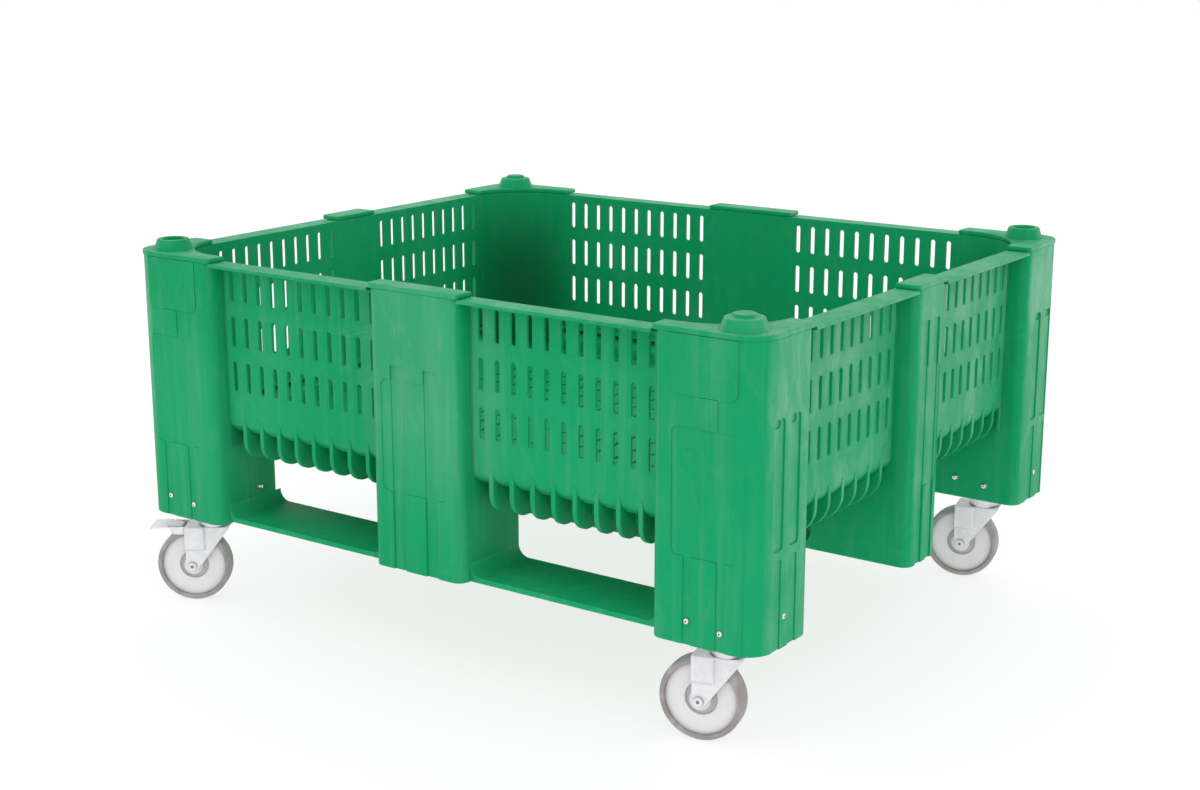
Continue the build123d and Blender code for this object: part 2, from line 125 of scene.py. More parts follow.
# Columns: pressed panels are left, right, low, high, corner radius and depth
SKIRT_BOTTOM = 161.0
SKIN = 6.0
CORNER_STEP = 1.2
CORNER_HOLLOW = 118.0
TUB_ROOM_TOP = 656.0
FRONT_BAND = 5.0
SIDE_BAND = 6.0
PRESS_STEPS = 5
PRESS_BOTTOM = 150.0
FRONT_PRESSED = (
    (458.0, 562.0, 288.0, 471.0, 10.0, 1.4),
    (478.0, 491.0, PRESS_BOTTOM, 290.0, 0.0, 1.4),
    (531.0, 546.0, PRESS_BOTTOM, 290.0, 0.0, 1.4))
SIDE_PRESSED = (
    (0.0, 26.0, 304.0, 489.0, 6.0, 2.6),
    (1.0, 17.0, 476.0, 488.0, 5.0, 4.4),
    (2.0, 23.0, PRESS_BOTTOM, 291.0, 4.0, 2.0))
SIDE_PRESSED_STARTS = (-34.0, 8.0)
LONG_MID_PRESSED = (
    (-63.0, 63.0, 288.0, 463.0, 12.0, 1.5),
    (20.0, 44.0, PRESS_BOTTOM, 485.0, 3.0, 2.8),
    (-44.0, -20.0, PRESS_BOTTOM, 485.0, 3.0, 2.8))
SHORT_MID_PRESSED = (
    (-34.0, 34.0, 288.0, 476.0, 12.0, 1.5),
    (8.0, 26.0, PRESS_BOTTOM, 548.0, 3.0, 2.8),
    (-26.0, -8.0, PRESS_BOTTOM, 548.0, 3.0, 2.8))
RAISED_BACK = 3.0
RAISED_STEPS = 4
BADGE = {"left": 455.0, "right": 561.0, "low": 515.0, "high": 612.0, "radius": 12.0}
BADGE_TOP = 597.5
TAB = {"left": 501.0, "right": 531.0, "low": 471.0, "high": 514.0, "radius": 2.0}
KNOB_SIDES = 48
KNOB_HEIGHT = 17.0
RAISED_KNOB = {"x": 546.0, "y": -459.0, "base": 34.5, "top": 27.5, "rim": 10.5, "rise": 5.0}
SUNK_KNOB = {"x": 545.0, "y": -457.5, "base": 31.0, "top": 25.5, "rim": 7.5, "rise": -9.0}
MID_STEP = 1.0
MID_HOLLOW = 105.0
MID_ROOM = 90.0
MID_ROOM_LAP = 6.0
MID_ROOM_LOW = 294.0
MID_ROOM_TOP = 402.0
SEAT_START = 23.0
SEAT_HEIGHT = 8.0

# Castors, with the turn of each at rest in degrees, and the bolts of their trays
SWINGS = {"front_right": 13.8, "front_left": 33.0, "back_right": 13.6, "back_left": 38.0}
TRAIL = 36.0
AXLE_Z = 62.5
WHEEL_RADIUS = 62.5
WHEEL_SIDES = 96
TYRE_WIDTH = 32.0
TYRE_FLANK = (2.0, -14.5)
CORE_RADIUS = 54.0
CORE_WIDTH = 21.0
CORE_RINGS = ((29.5, -7.0), (9.0, 14.4))
AXLE_CUT = 22.7
FORK_OUTSIDE = 18.0
AXLE_HEAD = {"y": 24.5, "radius": 7.0, "length": 4.0, "rim": 4.4, "sink": -3.4}
CHEEK = {"near": -12.0, "far": -46.9, "low": 91.0, "high": 131.7, "y": 24.25, "half": 2.75}
CHEEK_TAPER = (0.91, 1.0, 0.93)
LUG = {"near": -44.0, "far": -72.0, "low": 119.0, "high": 131.6, "y": 20.75, "half": 1.75}
PIN = {"x": -60.0, "z": 127.0, "radius": 3.0, "length": 38.0}
SMALL_SIDES = 24
BOLT_HEAD = {"y": -2.4, "radius": 4.6, "length": 4.0, "rim": 0.9, "sink": -2.2}
WASHER = {"y": 0.2, "radius": 5.3, "length": 1.2}
BOLT_SINK = 4.5
OUTER_BOLTS = ((-27, 195), (27, 188))
OUTER_SIDE_BOLT = 206
INNER_BOLTS = ((-26, 195), (28, 188))
INNER_SIDE_BOLT = (23, 208)

# Roundings: radius and number of steps
KERB_ROUND = (12.0, 6)
SLOT_EDGE = (0.9, 2)
RIB_EDGE = (0.8, 1)
LIP_EDGE = (1.8, 3)
TUB_ROUND = (115.0, 20)
CORNER_ROUND = (45.0, 12)
COLUMN_ENDS = (20.0, 6)
COLUMN_EDGE = (0.65, 3)
CAP_ENDS = (8.0, 6)
CAP_EDGE = (2.0, 3)
KNOB_EDGE = (1.8, 3)
MID_ROUND = (18.0, 6)
MID_EDGE = (0.4, 2)
MID_CAP_ROUND = (7.0, 5)
RUNNER_EDGE = (1.6, 2)
STEEL_EDGE = (0.8, 2)
TYRE_SHOULDER = (6.4, 6)
TYRE_EDGE = (1.2, 2)
CORE_EDGE = (1.0, 2)
FORK_EDGE = (0.9, 2)
AXLE_EDGE = (0.7, 2)
CHEEK_EDGE = (1.5, 4)
LUG_ROUND = (11.0, 8)
BOLT_ROUND = (2.4, 4)
WASHER_EDGE = (0.4, 1)

# Working limits: how near counts as there, the lap of joined bodies and a tool's reach past its cut
CLOSE = 1.0
LAP = 1.0
PAST = 9.0
MERGE = 0.01

# Working limits without a size: what counts as facing an axis or upright, and angles in degrees
SQUARE = 0.9
UPRIGHT = 0.98
FLAT_ANGLE = 0.5
SMOOTH_ANGLE = 32


# Working by hand: one object selected, its mesh opened, parts picked by place and shaped
def at(*place):
    """A place in millimetres as a vector in metres."""
    return Vector(place) * MM


def in_hand(obj):
    """Make this the only selected object, and the active one."""
    bpy.ops.object.select_all(action="DESELECT")
    obj.select_set(True)
    bpy.context.view_layer.objects.active = obj
    return obj


def settle(name):
    """Name the new object and put its place and size into its mesh."""
    obj = bpy.context.object
    obj.name = name
    bpy.ops.object.transform_apply(location=True, rotation=True, scale=True)
    return obj


def block(name, low, high):
    """A box between two corners."""
    low, high = at(*low), at(*high)
    bpy.ops.object.select_all(action="DESELECT")
    bpy.ops.mesh.primitive_cube_add(size=1, location=(low + high) / 2, scale=high - low)
    return settle(name)


def rod(name, centre, radius, length, axis, sides, top=None):
    """A round bar or, with another radius at its far end, a taper."""
    turn = {"Y": (math.pi / 2, 0, 0), "Z": (0, 0, 0)}[axis]
    bpy.ops.object.select_all(action="DESELECT")
    bpy.ops.mesh.primitive_cone_add(
        vertices=sides, radius1=radius * MM, radius2=(radius if top is None else top) * MM,
        depth=length * MM, location=at(*centre), rotation=turn)
    return settle(name)


def open_mesh(obj):
    in_hand(obj)
    bpy.ops.object.mode_set(mode="EDIT")


def close_mesh():
    bpy.ops.object.mode_set(mode="OBJECT")


def middle(item):
    """Where an edge or face is, in millimetres."""
    return sum((v.co for v in item.verts), Vector()) / len(item.verts) / MM


def pick(kind, test):
    """Select the vertices, edges or faces of the open mesh that pass a test."""
    bpy.ops.mesh.select_mode(type=kind)
    bpy.ops.mesh.select_all(action="DESELECT")
    mesh = bmesh.from_edit_mesh(bpy.context.edit_object.data)
    mesh.normal_update()
    groups = {"VERT": mesh.verts, "EDGE": mesh.edges, "FACE": mesh.faces}
    for item in [i for i in groups[kind] if test(i)]:
        item.select_set(True)
    bmesh.update_edit_mesh(bpy.context.edit_object.data)


def upright(edge):
    span = edge.verts[1].co - edge.verts[0].co
    return abs(span.z) > UPRIGHT * span.length


def sharp(edge, least=35.0):
    """Whether the two faces of an edge turn by more than so many degrees."""
    return edge.is_manifold and edge.calc_face_angle(0.0) > math.radians(least)


def round_over(obj, test, size, steps):
    """Round the edges that pass a test."""
    open_mesh(obj)
    pick("EDGE", test)
    bpy.ops.mesh.bevel(offset=size * MM, segments=steps, profile=0.5, affect="EDGES", clamp_overlap=True)
    close_mesh()
    return obj


def plate(name, low, high, axis, radius, steps):
    """A box whose edges along one axis are rounded."""
    made = block(name, low, high)
    along = "XYZ".index(axis)
    least = 0.5 * (high[along] - low[along]) * MM
    if radius > 0:
        round_over(made, lambda e: abs((e.verts[1].co - e.verts[0].co)[along]) > least, radius, steps)
    return made


def step_up(obj, test, width, rise):
    """Inset the faces that pass a test and carry them up or down."""
    open_mesh(obj)
    pick("FACE", test)
    bpy.ops.mesh.inset(thickness=width * MM)
    bpy.ops.mesh.extrude_region_move(TRANSFORM_OT_translate={"value": at(0, 0, rise)})
    close_mesh()
    return obj


def step_out(obj, test, width, rise):
    """Inset the faces that pass a test and carry them along their own normals."""
    open_mesh(obj)
    pick("FACE", test)
    bpy.ops.mesh.inset(thickness=width * MM)
    bpy.ops.mesh.extrude_region_shrink_fatten(TRANSFORM_OT_shrink_fatten={"value": rise * MM})
    close_mesh()
    return obj


def cut(obj, tool, kind="DIFFERENCE"):
    """Cut one body with another, which is used up."""
    in_hand(obj)
    step = obj.modifiers.new("cut", "BOOLEAN")
    step.operation = kind
    step.solver = "EXACT"
    step.object = tool
    bpy.ops.object.modifier_apply(modifier=step.name)
    discard(tool)
    return obj


def row(obj, step, count):
    """Repeat a body along a line."""
    in_hand(obj)
    line = obj.modifiers.new("row", "ARRAY")
    line.count = count
    line.use_relative_offset = False
    line.use_constant_offset = True
    line.constant_offset_displace = at(*step)
    bpy.ops.object.modifier_apply(modifier=line.name)
    return obj


def join(name, *objs):
    """Make one piece of several."""
    in_hand(objs[0])
    for obj in objs[1:]:
        obj.select_set(True)
    bpy.ops.object.join()
    objs[0].name = name
    return objs[0]


def copy_of(obj, name):
    in_hand(obj)
    bpy.ops.object.duplicate()
    bpy.context.object.name = name
    return bpy.context.object


def discard(*objs):
    for obj in objs:
        bpy.data.objects.remove(obj, do_unlink=True)


def moved(obj, matrix):
    """Carry a finished body to its own place, right side out."""
    in_hand(obj)
    obj.matrix_world = matrix @ obj.matrix_world
    bpy.ops.object.transform_apply(location=True, rotation=True, scale=True)
    open_mesh(obj)
    bpy.ops.mesh.select_all(action="SELECT")
    bpy.ops.mesh.normals_make_consistent(inside=False)
    close_mesh()
    return obj


def merged(obj):
    """Merge doubled points, take out needless edges and turn the faces outwards."""
    open_mesh(obj)
    bpy.ops.mesh.select_all(action="SELECT")
    bpy.ops.mesh.remove_doubles(threshold=MERGE * MM)
    bpy.ops.mesh.dissolve_limited(angle_limit=math.radians(FLAT_ANGLE))
    bpy.ops.mesh.normals_make_consistent(inside=False)
    close_mesh()
    return obj


def cad_copy(name):
    """A free copy of a CAD piece, merged."""
    obj = copy_of(frame["nodes"][name], name + "_soft")
    bpy.ops.object.parent_clear(type="CLEAR_KEEP_TRANSFORM")
    bpy.ops.object.transform_apply(location=True, rotation=True, scale=True)
    for key in [k for k in obj.keys() if k.startswith("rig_")]:
        del obj[key]
    return merged(obj)


def softened(name, edge):
    """A copy of a CAD piece with its sharp edges rounded over."""
    return round_over(cad_copy(name), sharp, *edge)


def coat(name, finish):
    """Give a CAD piece that stays as it is its surface."""
    materials = frame["nodes"][name].data.materials
    materials.clear()
    materials.append(finish)


def keep(obj, body, finish, slot, *nodes):
    """Give a finished piece its surface, its body and the CAD pieces that it stands for."""
    in_hand(obj)
    bpy.ops.object.shade_smooth_by_angle(angle=math.radians(SMOOTH_ANGLE))
    obj.data.materials.clear()
    obj.data.materials.append(finish)
    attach(obj, body)
    if nodes:
        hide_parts(*nodes)
    return obj


# Surfaces: sockets that can be written in sums
class Wire:
    """One output of a shader node."""

    def __init__(self, tree, socket):
        self.tree = tree
        self.socket = socket

    def sum(self, kind, *values):
        return node(self.tree, "ShaderNodeMath", {"operation": kind}, dict(enumerate(values)))

    def __add__(self, other):
        return self.sum("ADD", self, other)

    __radd__ = __add__

    def __sub__(self, other):
        return self.sum("SUBTRACT", self, other)

    def __rsub__(self, other):
        return self.sum("SUBTRACT", other, self)

    def __mul__(self, other):
        return self.sum("MULTIPLY", self, other)

    __rmul__ = __mul__

    def most(self, other):
        return self.sum("MAXIMUM", self, other)

    def least(self, other):
        return self.sum("MINIMUM", self, other)

    def size(self):
        return self.sum("ABSOLUTE", self)

    def ramp(self, low, high):
        """0 below the low value, 1 above the high one, smooth between."""
        return node(self.tree, "ShaderNodeMapRange", {"interpolation_type": "SMOOTHSTEP"},
                    {"Value": self, "From Min": low, "From Max": high})


def node(tree, kind, settings, values, out=0):
    """Add a shader node, set it up, fill or link its sockets, and give one output if it has any."""
    made = tree.nodes.new(kind)
    for name, value in settings.items():
        setattr(made, name, value)
    for name, value in values.items():
        if isinstance(value, Wire):
            tree.links.new(value.socket, made.inputs[name])
        else:
            made.inputs[name].default_value = value
    return Wire(tree, made.outputs[out]) if made.outputs else None


def colour(code):
    """A written colour such as 1FA16B as linear light."""
    parts = [int(code[k:k + 2], 16) / 255 for k in (0, 2, 4)]
    return [p / 12.92 if p <= 0.04045 else ((p + 0.055) / 1.055) ** 2.4 for p in parts] + [1.0]


def blend(tree, amount, first, second):
    """One colour into another."""
    return node(tree, "ShaderNodeMix", {"data_type": "RGBA"}, {0: amount, 6: first, 7: second}, 2)


def new_surface(name):
    """A material with an empty tree."""
    surface = bpy.data.materials.new(name)
    surface.use_nodes = True
    surface.node_tree.nodes.clear()
    return surface, surface.node_tree


def own_place(tree):
    """The place on the object."""
    return node(tree, "ShaderNodeTexCoord", {}, {}, "Object")


def parted(tree, vector):
    """The three parts of a vector."""
    first = node(tree, "ShaderNodeSeparateXYZ", {}, {"Vector": vector})
    return [Wire(tree, out) for out in first.socket.node.outputs]


def cloud(tree, place, scale, detail, stretch=(1, 1, 1), twist=0.0, rough=0.55):
    """Soft noise, stretched along the object's own axes."""
    spread = node(tree, "ShaderNodeMapping", {}, {"Vector": place, "Scale": stretch})
    return node(tree, "ShaderNodeTexNoise", {}, {
        "Vector": spread, "Scale": scale, "Detail": detail, "Roughness": rough, "Distortion": twist})


def crease_shade(tree, reach):
    """Painted shade from ambient occlusion: 1 deep in a corner or a groove, 0 on open faces."""
    open_air = node(tree, "ShaderNodeAmbientOcclusion", {"samples": 8}, {"Distance": reach}, "AO")
    return 1 - open_air.ramp(0.35, 0.98)


def worn_edges(tree, reach):
    """1 along sharp edges, 0 on flat faces."""
    rounded = node(tree, "ShaderNodeBevel", {"samples": 6}, {"Radius": reach})
    true = node(tree, "ShaderNodeNewGeometry", {}, {}, "Normal")
    turn = node(tree, "ShaderNodeVectorMath", {"operation": "DOT_PRODUCT"}, {0: rounded, 1: true}, "Value")
    return (1 - turn).ramp(0.02, 0.2)


def shade(surface, tree, look, bump, depth, reach):
    """Close the tree with the shader and its bump."""
    normal = node(tree, "ShaderNodeBump", {}, {"Strength": depth, "Distance": reach, "Height": bump})
    shader = node(tree, "ShaderNodeBsdfPrincipled", {}, dict(look, Normal=normal))
    node(tree, "ShaderNodeOutputMaterial", {}, {"Surface": shader})
    return surface


def tub_inside(across, along, height):
    """1 on the faces inside the tub."""
    between_short = 1 - across.size().ramp(0.559, 0.562)
    between_long = 1 - along.size().ramp(0.463, 0.466)
    return between_short * between_long * height.ramp(0.285, 0.295)


def tub_corner_shade(inside, across, along, height):
    """Painted shade: 1 low in the corners of the tub."""
    corners = across.size().ramp(0.34, 0.53) * along.size().ramp(0.26, 0.44)
    return inside * corners * (1 - height.ramp(0.42, 0.66))


def mid_post_front(across, front, height):
    """The upper front and back faces of the mid posts."""
    near_middle = 1 - across.size().ramp(0.09, 0.15)
    return near_middle * front.size().ramp(0.5, 0.9) * height.ramp(0.22, 0.42) * 0.4


def moulded_green():
    """Moulded plastic: rubbed pale in patches and on edges, partly painted sheen, painted shade in grooves
    and tub corners, a worn gloss coat.
    """
    surface, tree = new_surface("moulded_green")
    place = own_place(tree)
    across, along, height = parted(tree, place)
    side, front, up = parted(tree, node(tree, "ShaderNodeTexCoord", {}, {}, "Normal"))
    broad = cloud(tree, place, 3.6, 3.0, twist=0.5).ramp(0.46, 0.70)
    patches = cloud(tree, place, 10.0, 5.0, (1.0, 1.0, 0.55), 1.4, 0.6).ramp(0.40, 0.64)
    wisps = cloud(tree, place, 17.0, 7.0, (1.0, 1.0, 0.45), 2.6, 0.62).ramp(0.48, 0.74)
    marks = cloud(tree, place, 46.0, 5.0, (1.0, 1.0, 0.5), 1.6).ramp(0.60, 0.74)
    streaks = cloud(tree, place, 55.0, 3.0, (1.0, 1.0, 0.05), 0.3).ramp(0.48, 0.72)
    lumps = cloud(tree, place, 70.0, 3.0, twist=1.2).ramp(0.42, 0.7)
    grain = cloud(tree, place, 190.0, 3.0)
    inside = tub_inside(across, along, height)
    # Outer short sides rubbed pale: partly wear, partly painted sheen, paler higher up and towards the back
    short_side_rub_and_sheen = (across * side).ramp(0.5, 0.56) * (
        0.12 + patches * 0.4 + height.ramp(0.42, 0.5) * 0.17 + along.ramp(0.3, 0.48) * 0.18)
    top = up.ramp(0.4, 0.9) * height.ramp(0.5, 0.56)
    # Rim tops rubbed pale in patches: partly wear, partly painted sheen
    rim = top * (0.02 + patches * 0.3 + marks * 0.3 + lumps * 0.2)
    post = mid_post_front(across, front, height) * (along * front).ramp(0.3, 0.45)
    # Pale rubbing with the painted sheen of the short sides and rim tops; mid posts paler on their upper
    # outer faces
    rub = short_side_rub_and_sheen.most(rim).most(post)
    painted_crease_shade = crease_shade(tree, 0.007)
    edges = worn_edges(tree, 0.0022) * (1 - painted_crease_shade) * marks.most(streaks).most(0.25)
    streaked = streaks * (0.13 - inside * 0.1 + rub * 0.15)
    scuff_and_sheen = broad * 0.06 + wisps * (0.1 + rub * 0.3) + marks * 0.05 + streaked + rub * 0.55
    depth = cloud(tree, place, 2.2, 2.0).ramp(0.35, 0.65)
    base = blend(tree, depth, colour("0A9E64"), colour("12A56C"))
    # Pale wear and painted sheen, and pale worn edges
    paint = blend(tree, scuff_and_sheen.most(edges * 0.6).least(1.0), base, colour("70BB98"))
    # Painted shade: darker green in grooves and inside corners
    paint = blend(tree, painted_crease_shade * 0.3, paint, colour("08683F"))
    # Painted shade: darker green low in the tub's inside corners
    paint = blend(tree, tub_corner_shade(inside, across, along, height) * 0.75, paint, colour("044A29"))
    glance = node(tree, "ShaderNodeLayerWeight", {}, {"Blend": 0.5}, "Facing")
    sheen = glance.ramp(0.32, 0.54) * (1 - glance.ramp(0.56, 0.80) * 0.6) * (0.45 + patches * 0.55)
    sheen = sheen * height.ramp(0.2, 0.42) * (1 - inside * 0.7)
    look = {
        "Base Color": paint, "Roughness": 0.48 + scuff_and_sheen * 0.14 + grain * 0.08, "Specular IOR Level": 0.1,
        "Coat Weight": sheen, "Coat Roughness": 0.4, "Coat IOR": 1.4}
    bump = grain * 0.4 + wisps * 0.6 + top * lumps * 6.0
    return shade(surface, tree, look, bump, depth=0.1, reach=0.001)


def zinc_steel():
    """Pressed steel with a pale zinc coat, cloudy and a little scratched, with painted shade in its folds.
    """
    surface, tree = new_surface("zinc_steel")
    place = own_place(tree)
    mottle = cloud(tree, place, 60.0, 4.0, twist=0.6)
    scratch = cloud(tree, place, 240.0, 3.0, (1.0, 1.0, 0.12)).ramp(0.55, 0.75)
    paint = blend(tree, mottle.ramp(0.3, 0.7), colour("EBEAEE"), colour("F6F5F8"))
    # Painted shade: darker grey in folds and grooves
    paint = blend(tree, crease_shade(tree, 0.007) * 0.85, paint, colour("8A8890"))
    rough = 0.36 + mottle * 0.2 + scratch * 0.1
    look = {"Base Color": paint, "Roughness": rough, "Metallic": 0.1}
    return shade(surface, tree, look, mottle * 0.5 + scratch * 0.5, depth=0.15, reach=0.0005)


def white_plastic():
    """White moulded wheel centre with a little grime, and painted shade in its recesses."""
    surface, tree = new_surface("white_plastic")
    place = own_place(tree)
    grime = cloud(tree, place, 34.0, 5.0, twist=0.8).ramp(0.5, 0.85)
    grain = cloud(tree, place, 300.0, 2.0)
    paint = blend(tree, grime * 0.4, colour("F1EFF0"), colour("D8D4D2"))
    # Painted shade: grey in the hub recess and grooves
    paint = blend(tree, crease_shade(tree, 0.012) * 0.48, paint, colour("8E8A88"))
    look = {"Base Color": paint, "Roughness": 0.38 + grime * 0.2}
    return shade(surface, tree, look, grain, depth=0.08, reach=0.0004)


def grey_rubber():
    """Grey tyre with a dusty, slightly rubbed tread."""
    surface, tree = new_surface("grey_rubber")
    place = own_place(tree)
    dust = cloud(tree, place, 40.0, 5.0, twist=0.5).ramp(0.35, 0.75)
    grain = cloud(tree, place, 420.0, 3.0)
    paint = blend(tree, dust, colour("9A9494"), colour("BAB4B4"))
    look = {"Base Color": paint, "Roughness": 0.55 + dust * 0.2}
    return shade(surface, tree, look, grain, depth=0.2, reach=0.0004)


def bolt_steel():
    """Bright machined steel of the bolts, with painted shade in the socket and grooves."""
    surface, tree = new_surface("bolt_steel")
    rub = cloud(tree, own_place(tree), 180.0, 4.0, twist=0.4)
    paint = blend(tree, rub.ramp(0.35, 0.7), colour("D9D8D6"), colour("F4F3F0"))
    # Painted shade: near black in the socket and grooves
    paint = blend(tree, crease_shade(tree, 0.003), paint, colour("3A3634"))
    look = {"Base Color": paint, "Roughness": 0.1 + rub * 0.12, "Metallic": 0.95}
    return shade(surface, tree, look, rub, depth=0.1, reach=0.0003)


GREEN = moulded_green()
ZINC = zinc_steel()
WHITE = white_plastic()
RUBBER = grey_rubber()
BRIGHT = bolt_steel()


def facing_side(side):
    """The turn from the front of the box to another side."""
    return Matrix.Rotation(math.radians(TURN[side]), 4, "Z")


# The foot of a wall, drawn for the front wall
def foot_room(face, inner, left, right):
    """The room above the foot of a wall."""
    sheet_middle = WALL / 2 - face
    room = block("room", (left, sheet_middle, LEDGE), (right, inner, FOOT_ROOM_TOP))

    def low_outer(edge):
        spot = middle(edge)
        return spot.y < sheet_middle + CLOSE and spot.z < LEDGE + CLOSE and not upright(edge)

    return round_over(room, low_outer, BEND - WALL / 2, FOOT_ROOM_STEPS)


def inner_top(inner, level):
    """A test for the inner edge of a foot, where it is above a level."""
    return lambda e: middle(e).y > inner - CLOSE and middle(e).z > level and not upright(e)


def turned_in(obj, face):
    """Bend the lower end of a wall or bead in under the tub, as far as the kerb.

    The faces drawn in are the end of the bend and one face higher up, which makes a small shelf.
    """
    open_mesh(obj)
    pick("FACE", lambda f: f.normal.z < -SQUARE)
    centre = at(0, BEND - face, BEND_TOP)
    bpy.ops.mesh.spin(steps=BEND_STEPS, angle=-math.pi / 2, center=centre, axis=(1, 0, 0))
    bpy.ops.mesh.select_all(action="SELECT")
    bpy.ops.mesh.remove_doubles(threshold=MERGE * MM)
    bpy.ops.mesh.normals_make_consistent(inside=False)
    pick("FACE", lambda f: f.normal.y > SQUARE and middle(f).z < DRAWN_BELOW)
    run = FOOT_DEPTH - BEND - KERB + LAP
    bpy.ops.mesh.extrude_region_move(TRANSFORM_OT_translate={"value": at(0, run, 0)})
    close_mesh()
    return obj


def foot_end(face, start, stop):
    """The plate that closes the foot of a wall at its end."""
    inner = FOOT_DEPTH - face
    end = block("end", (start, WALL - face, FOOT_UNDER), (stop, inner - FOOT_END_GAP, FOOT_END_TOP))
    cut(end, foot_room(face, inner + PAST, start - PAST, stop + PAST))
    return round_over(end, inner_top(inner, LEDGE - CLOSE), *KERB_ROUND)


# Walls: a slotted sheet with a turned-in foot, ribs under the foot and a rim lip, drawn as the front wall
def slot_tool(centre, axis, run):
    """A round bar with one half drawn out, so that it cuts a slot."""
    tool = rod("slot_tool", centre, SLOT_RADIUS, SLOT_TOOL, axis, SLOT_SIDES)
    open_mesh(tool)
    pick("VERT", lambda v: (v.co - at(*centre)).dot(at(*run)) > 0)
    bpy.ops.transform.translate(value=at(*run))
    close_mesh()
    return tool


def wall_sheet(face, centre, sheet_end, columns):
    """The sheet with its slots in two panels."""
    sheet = block("sheet", (-sheet_end, -face, BEND_TOP), (sheet_end, WALL - face, RIM_TOP))
    turned_in(sheet, face)
    start = -centre - (columns - 1) * SLOT_PITCH / 2
    tool = slot_tool((start, WALL / 2 - face, SLOT_LOW), "Y", (0, 0, SLOT_RUN))
    row(tool, (SLOT_PITCH, 0, 0), columns)
    row(tool, (0, 0, SLOT_ROW_PITCH), SLOT_ROWS)
    row(tool, (2 * centre, 0, 0), 2)
    cut(sheet, tool)

    def slot_edge(edge):
        spot = middle(edge)
        among_slots = SLOT_LOW - 2 * SLOT_RADIUS < spot.z < RIM_TOP - LIP
        off_ends = abs(spot.x) < sheet_end - CLOSE
        return sharp(edge, 60) and abs(spot.y + face) < CLOSE and among_slots and off_ends

    return round_over(sheet, slot_edge, *SLOT_EDGE)


def wall_kerb(face, sheet_end):
    """The low kerb at the inner end of the foot."""
    inner = FOOT_DEPTH - face
    low = (-sheet_end, inner - KERB, FOOT_UNDER)
    kerb = block("kerb", low, (sheet_end, inner, LEDGE + KERB_RISE))
    return round_over(kerb, inner_top(inner, LEDGE), *KERB_ROUND)


def wall_ribs(face, centre, ribs, pitch, radius):
    """The ribs under the foot, a row below each panel."""
    inner = FOOT_DEPTH - face
    first = -centre - (ribs - 1) / 2 * pitch
    low = (first - RIB_HALF, -face - RIB_SHIFT, RIB_BOTTOM)
    rib = block("rib", low, (first + RIB_HALF, inner - RIB_SHIFT, FOOT_TOP))

    def low_outer(edge):
        return middle(edge).y < -face and middle(edge).z < RIB_BOTTOM + CLOSE and not upright(edge)

    round_over(rib, low_outer, radius, RIB_STEPS)
    cut(rib, foot_room(face, inner + PAST, first - RIB_ROOM, first + RIB_ROOM))
    round_over(rib, lambda e: sharp(e, 50), *RIB_EDGE)
    row(rib, (pitch, 0, 0), ribs)
    return row(rib, (2 * centre, 0, 0), 2)


def wall_crease(face, centre, post, panel_end):
    """The fine line along the bend of the foot."""
    reach = BEND + CREASE_PROUD
    line_y = BEND - face - reach * math.cos(CREASE_TURN)
    line_z = BEND_TOP - reach * math.sin(CREASE_TURN)
    low = (post, line_y - CREASE_HALF, line_z - CREASE_HALF)
    high = (panel_end, line_y + CREASE_HALF, line_z + CREASE_HALF)
    return row(block("line", low, high), (-2 * centre, 0, 0), 2)


def wall_beads(face, centre, post, panel_end):
    """The thin upright beads at both ends of each panel."""
    low = (post, -face - BEAD_PROUD, BEND_TOP)
    bead = turned_in(block("bead", low, (post + BEAD_WIDTH, LAP - face, RIM_TOP - LIP)), face)
    row(bead, (panel_end - post - BEAD_WIDTH, 0, 0), 2)
    return row(bead, (-2 * centre, 0, 0), 2)


def wall_lip(face, outer, centre, post, panel_end):
    """The rim that stands out at the top of each panel."""
    lip = block("lip", (post, -outer, RIM_TOP - LIP), (panel_end, -face, RIM_TOP))
    round_over(lip, lambda e: middle(e).y < CLOSE - outer and not upright(e), *LIP_EDGE)
    return row(lip, (-2 * centre, 0, 0), 2)


def whole_wall(name, face, outer, post, panel_end, sheet_end, columns, ribs, rib_pitch, rib_round):
    centre = (post + panel_end) / 2
    return join(
        name,
        wall_sheet(face, centre, sheet_end, columns),
        wall_kerb(face, sheet_end),
        wall_ribs(face, centre, ribs, rib_pitch, rib_round),
        wall_crease(face, centre, post, panel_end),
        wall_beads(face, centre, post, panel_end),
        wall_lip(face, outer, centre, post, panel_end))


long_wall = whole_wall("long_wall", LONG_FACE, HALF_WIDTH, LONG_POST, CORNER_X, CORNER_X,
                       columns=11, ribs=8, rib_pitch=38.0, rib_round=31.0)
short_wall = whole_wall("short_wall", SHORT_FACE, HALF_LENGTH, SHORT_POST, CORNER_Y, SHORT_FLAT,
                        columns=10, ribs=7, rib_pitch=40.0, rib_round=44.0)
for side, master in (("front", long_wall), ("back", long_wall), ("left", short_wall), ("right", short_wall)):
    piece = moved(copy_of(master, "slotted_wall_" + side), facing_side(side))
    keep(piece, "box", GREEN, "green_plastic", "wall_" + side)
discard(long_wall, short_wall)


# Corner columns, drawn as the front right one: outer faces, tub corner, cap and knob
def tub_room():
    """The room inside the tub, with its rounded upright corners."""
    half_x, half_y = SHORT_FACE - WALL, LONG_FACE - WALL
    room = block("room", (-half_x, -half_y, FOOT_UNDER), (half_x, half_y, TUB_ROOM_TOP))
    return round_over(room, upright, *TUB_ROUND)


def corner_plan(name, inset, low, high, ends):
    """The rounded block of a corner between two levels."""
    front, side = inset - HALF_WIDTH, HALF_LENGTH - inset
    plan = block(name, (CORNER_X, front, low), (side, -CORNER_Y, high))

    def outermost(edge):
        return upright(edge) and middle(edge).x > side - CLOSE and middle(edge).y < front + CLOSE

    round_over(plan, outermost, *CORNER_ROUND)
    return round_over(plan, lambda e: upright(e) and sharp(e, 60), *ends)


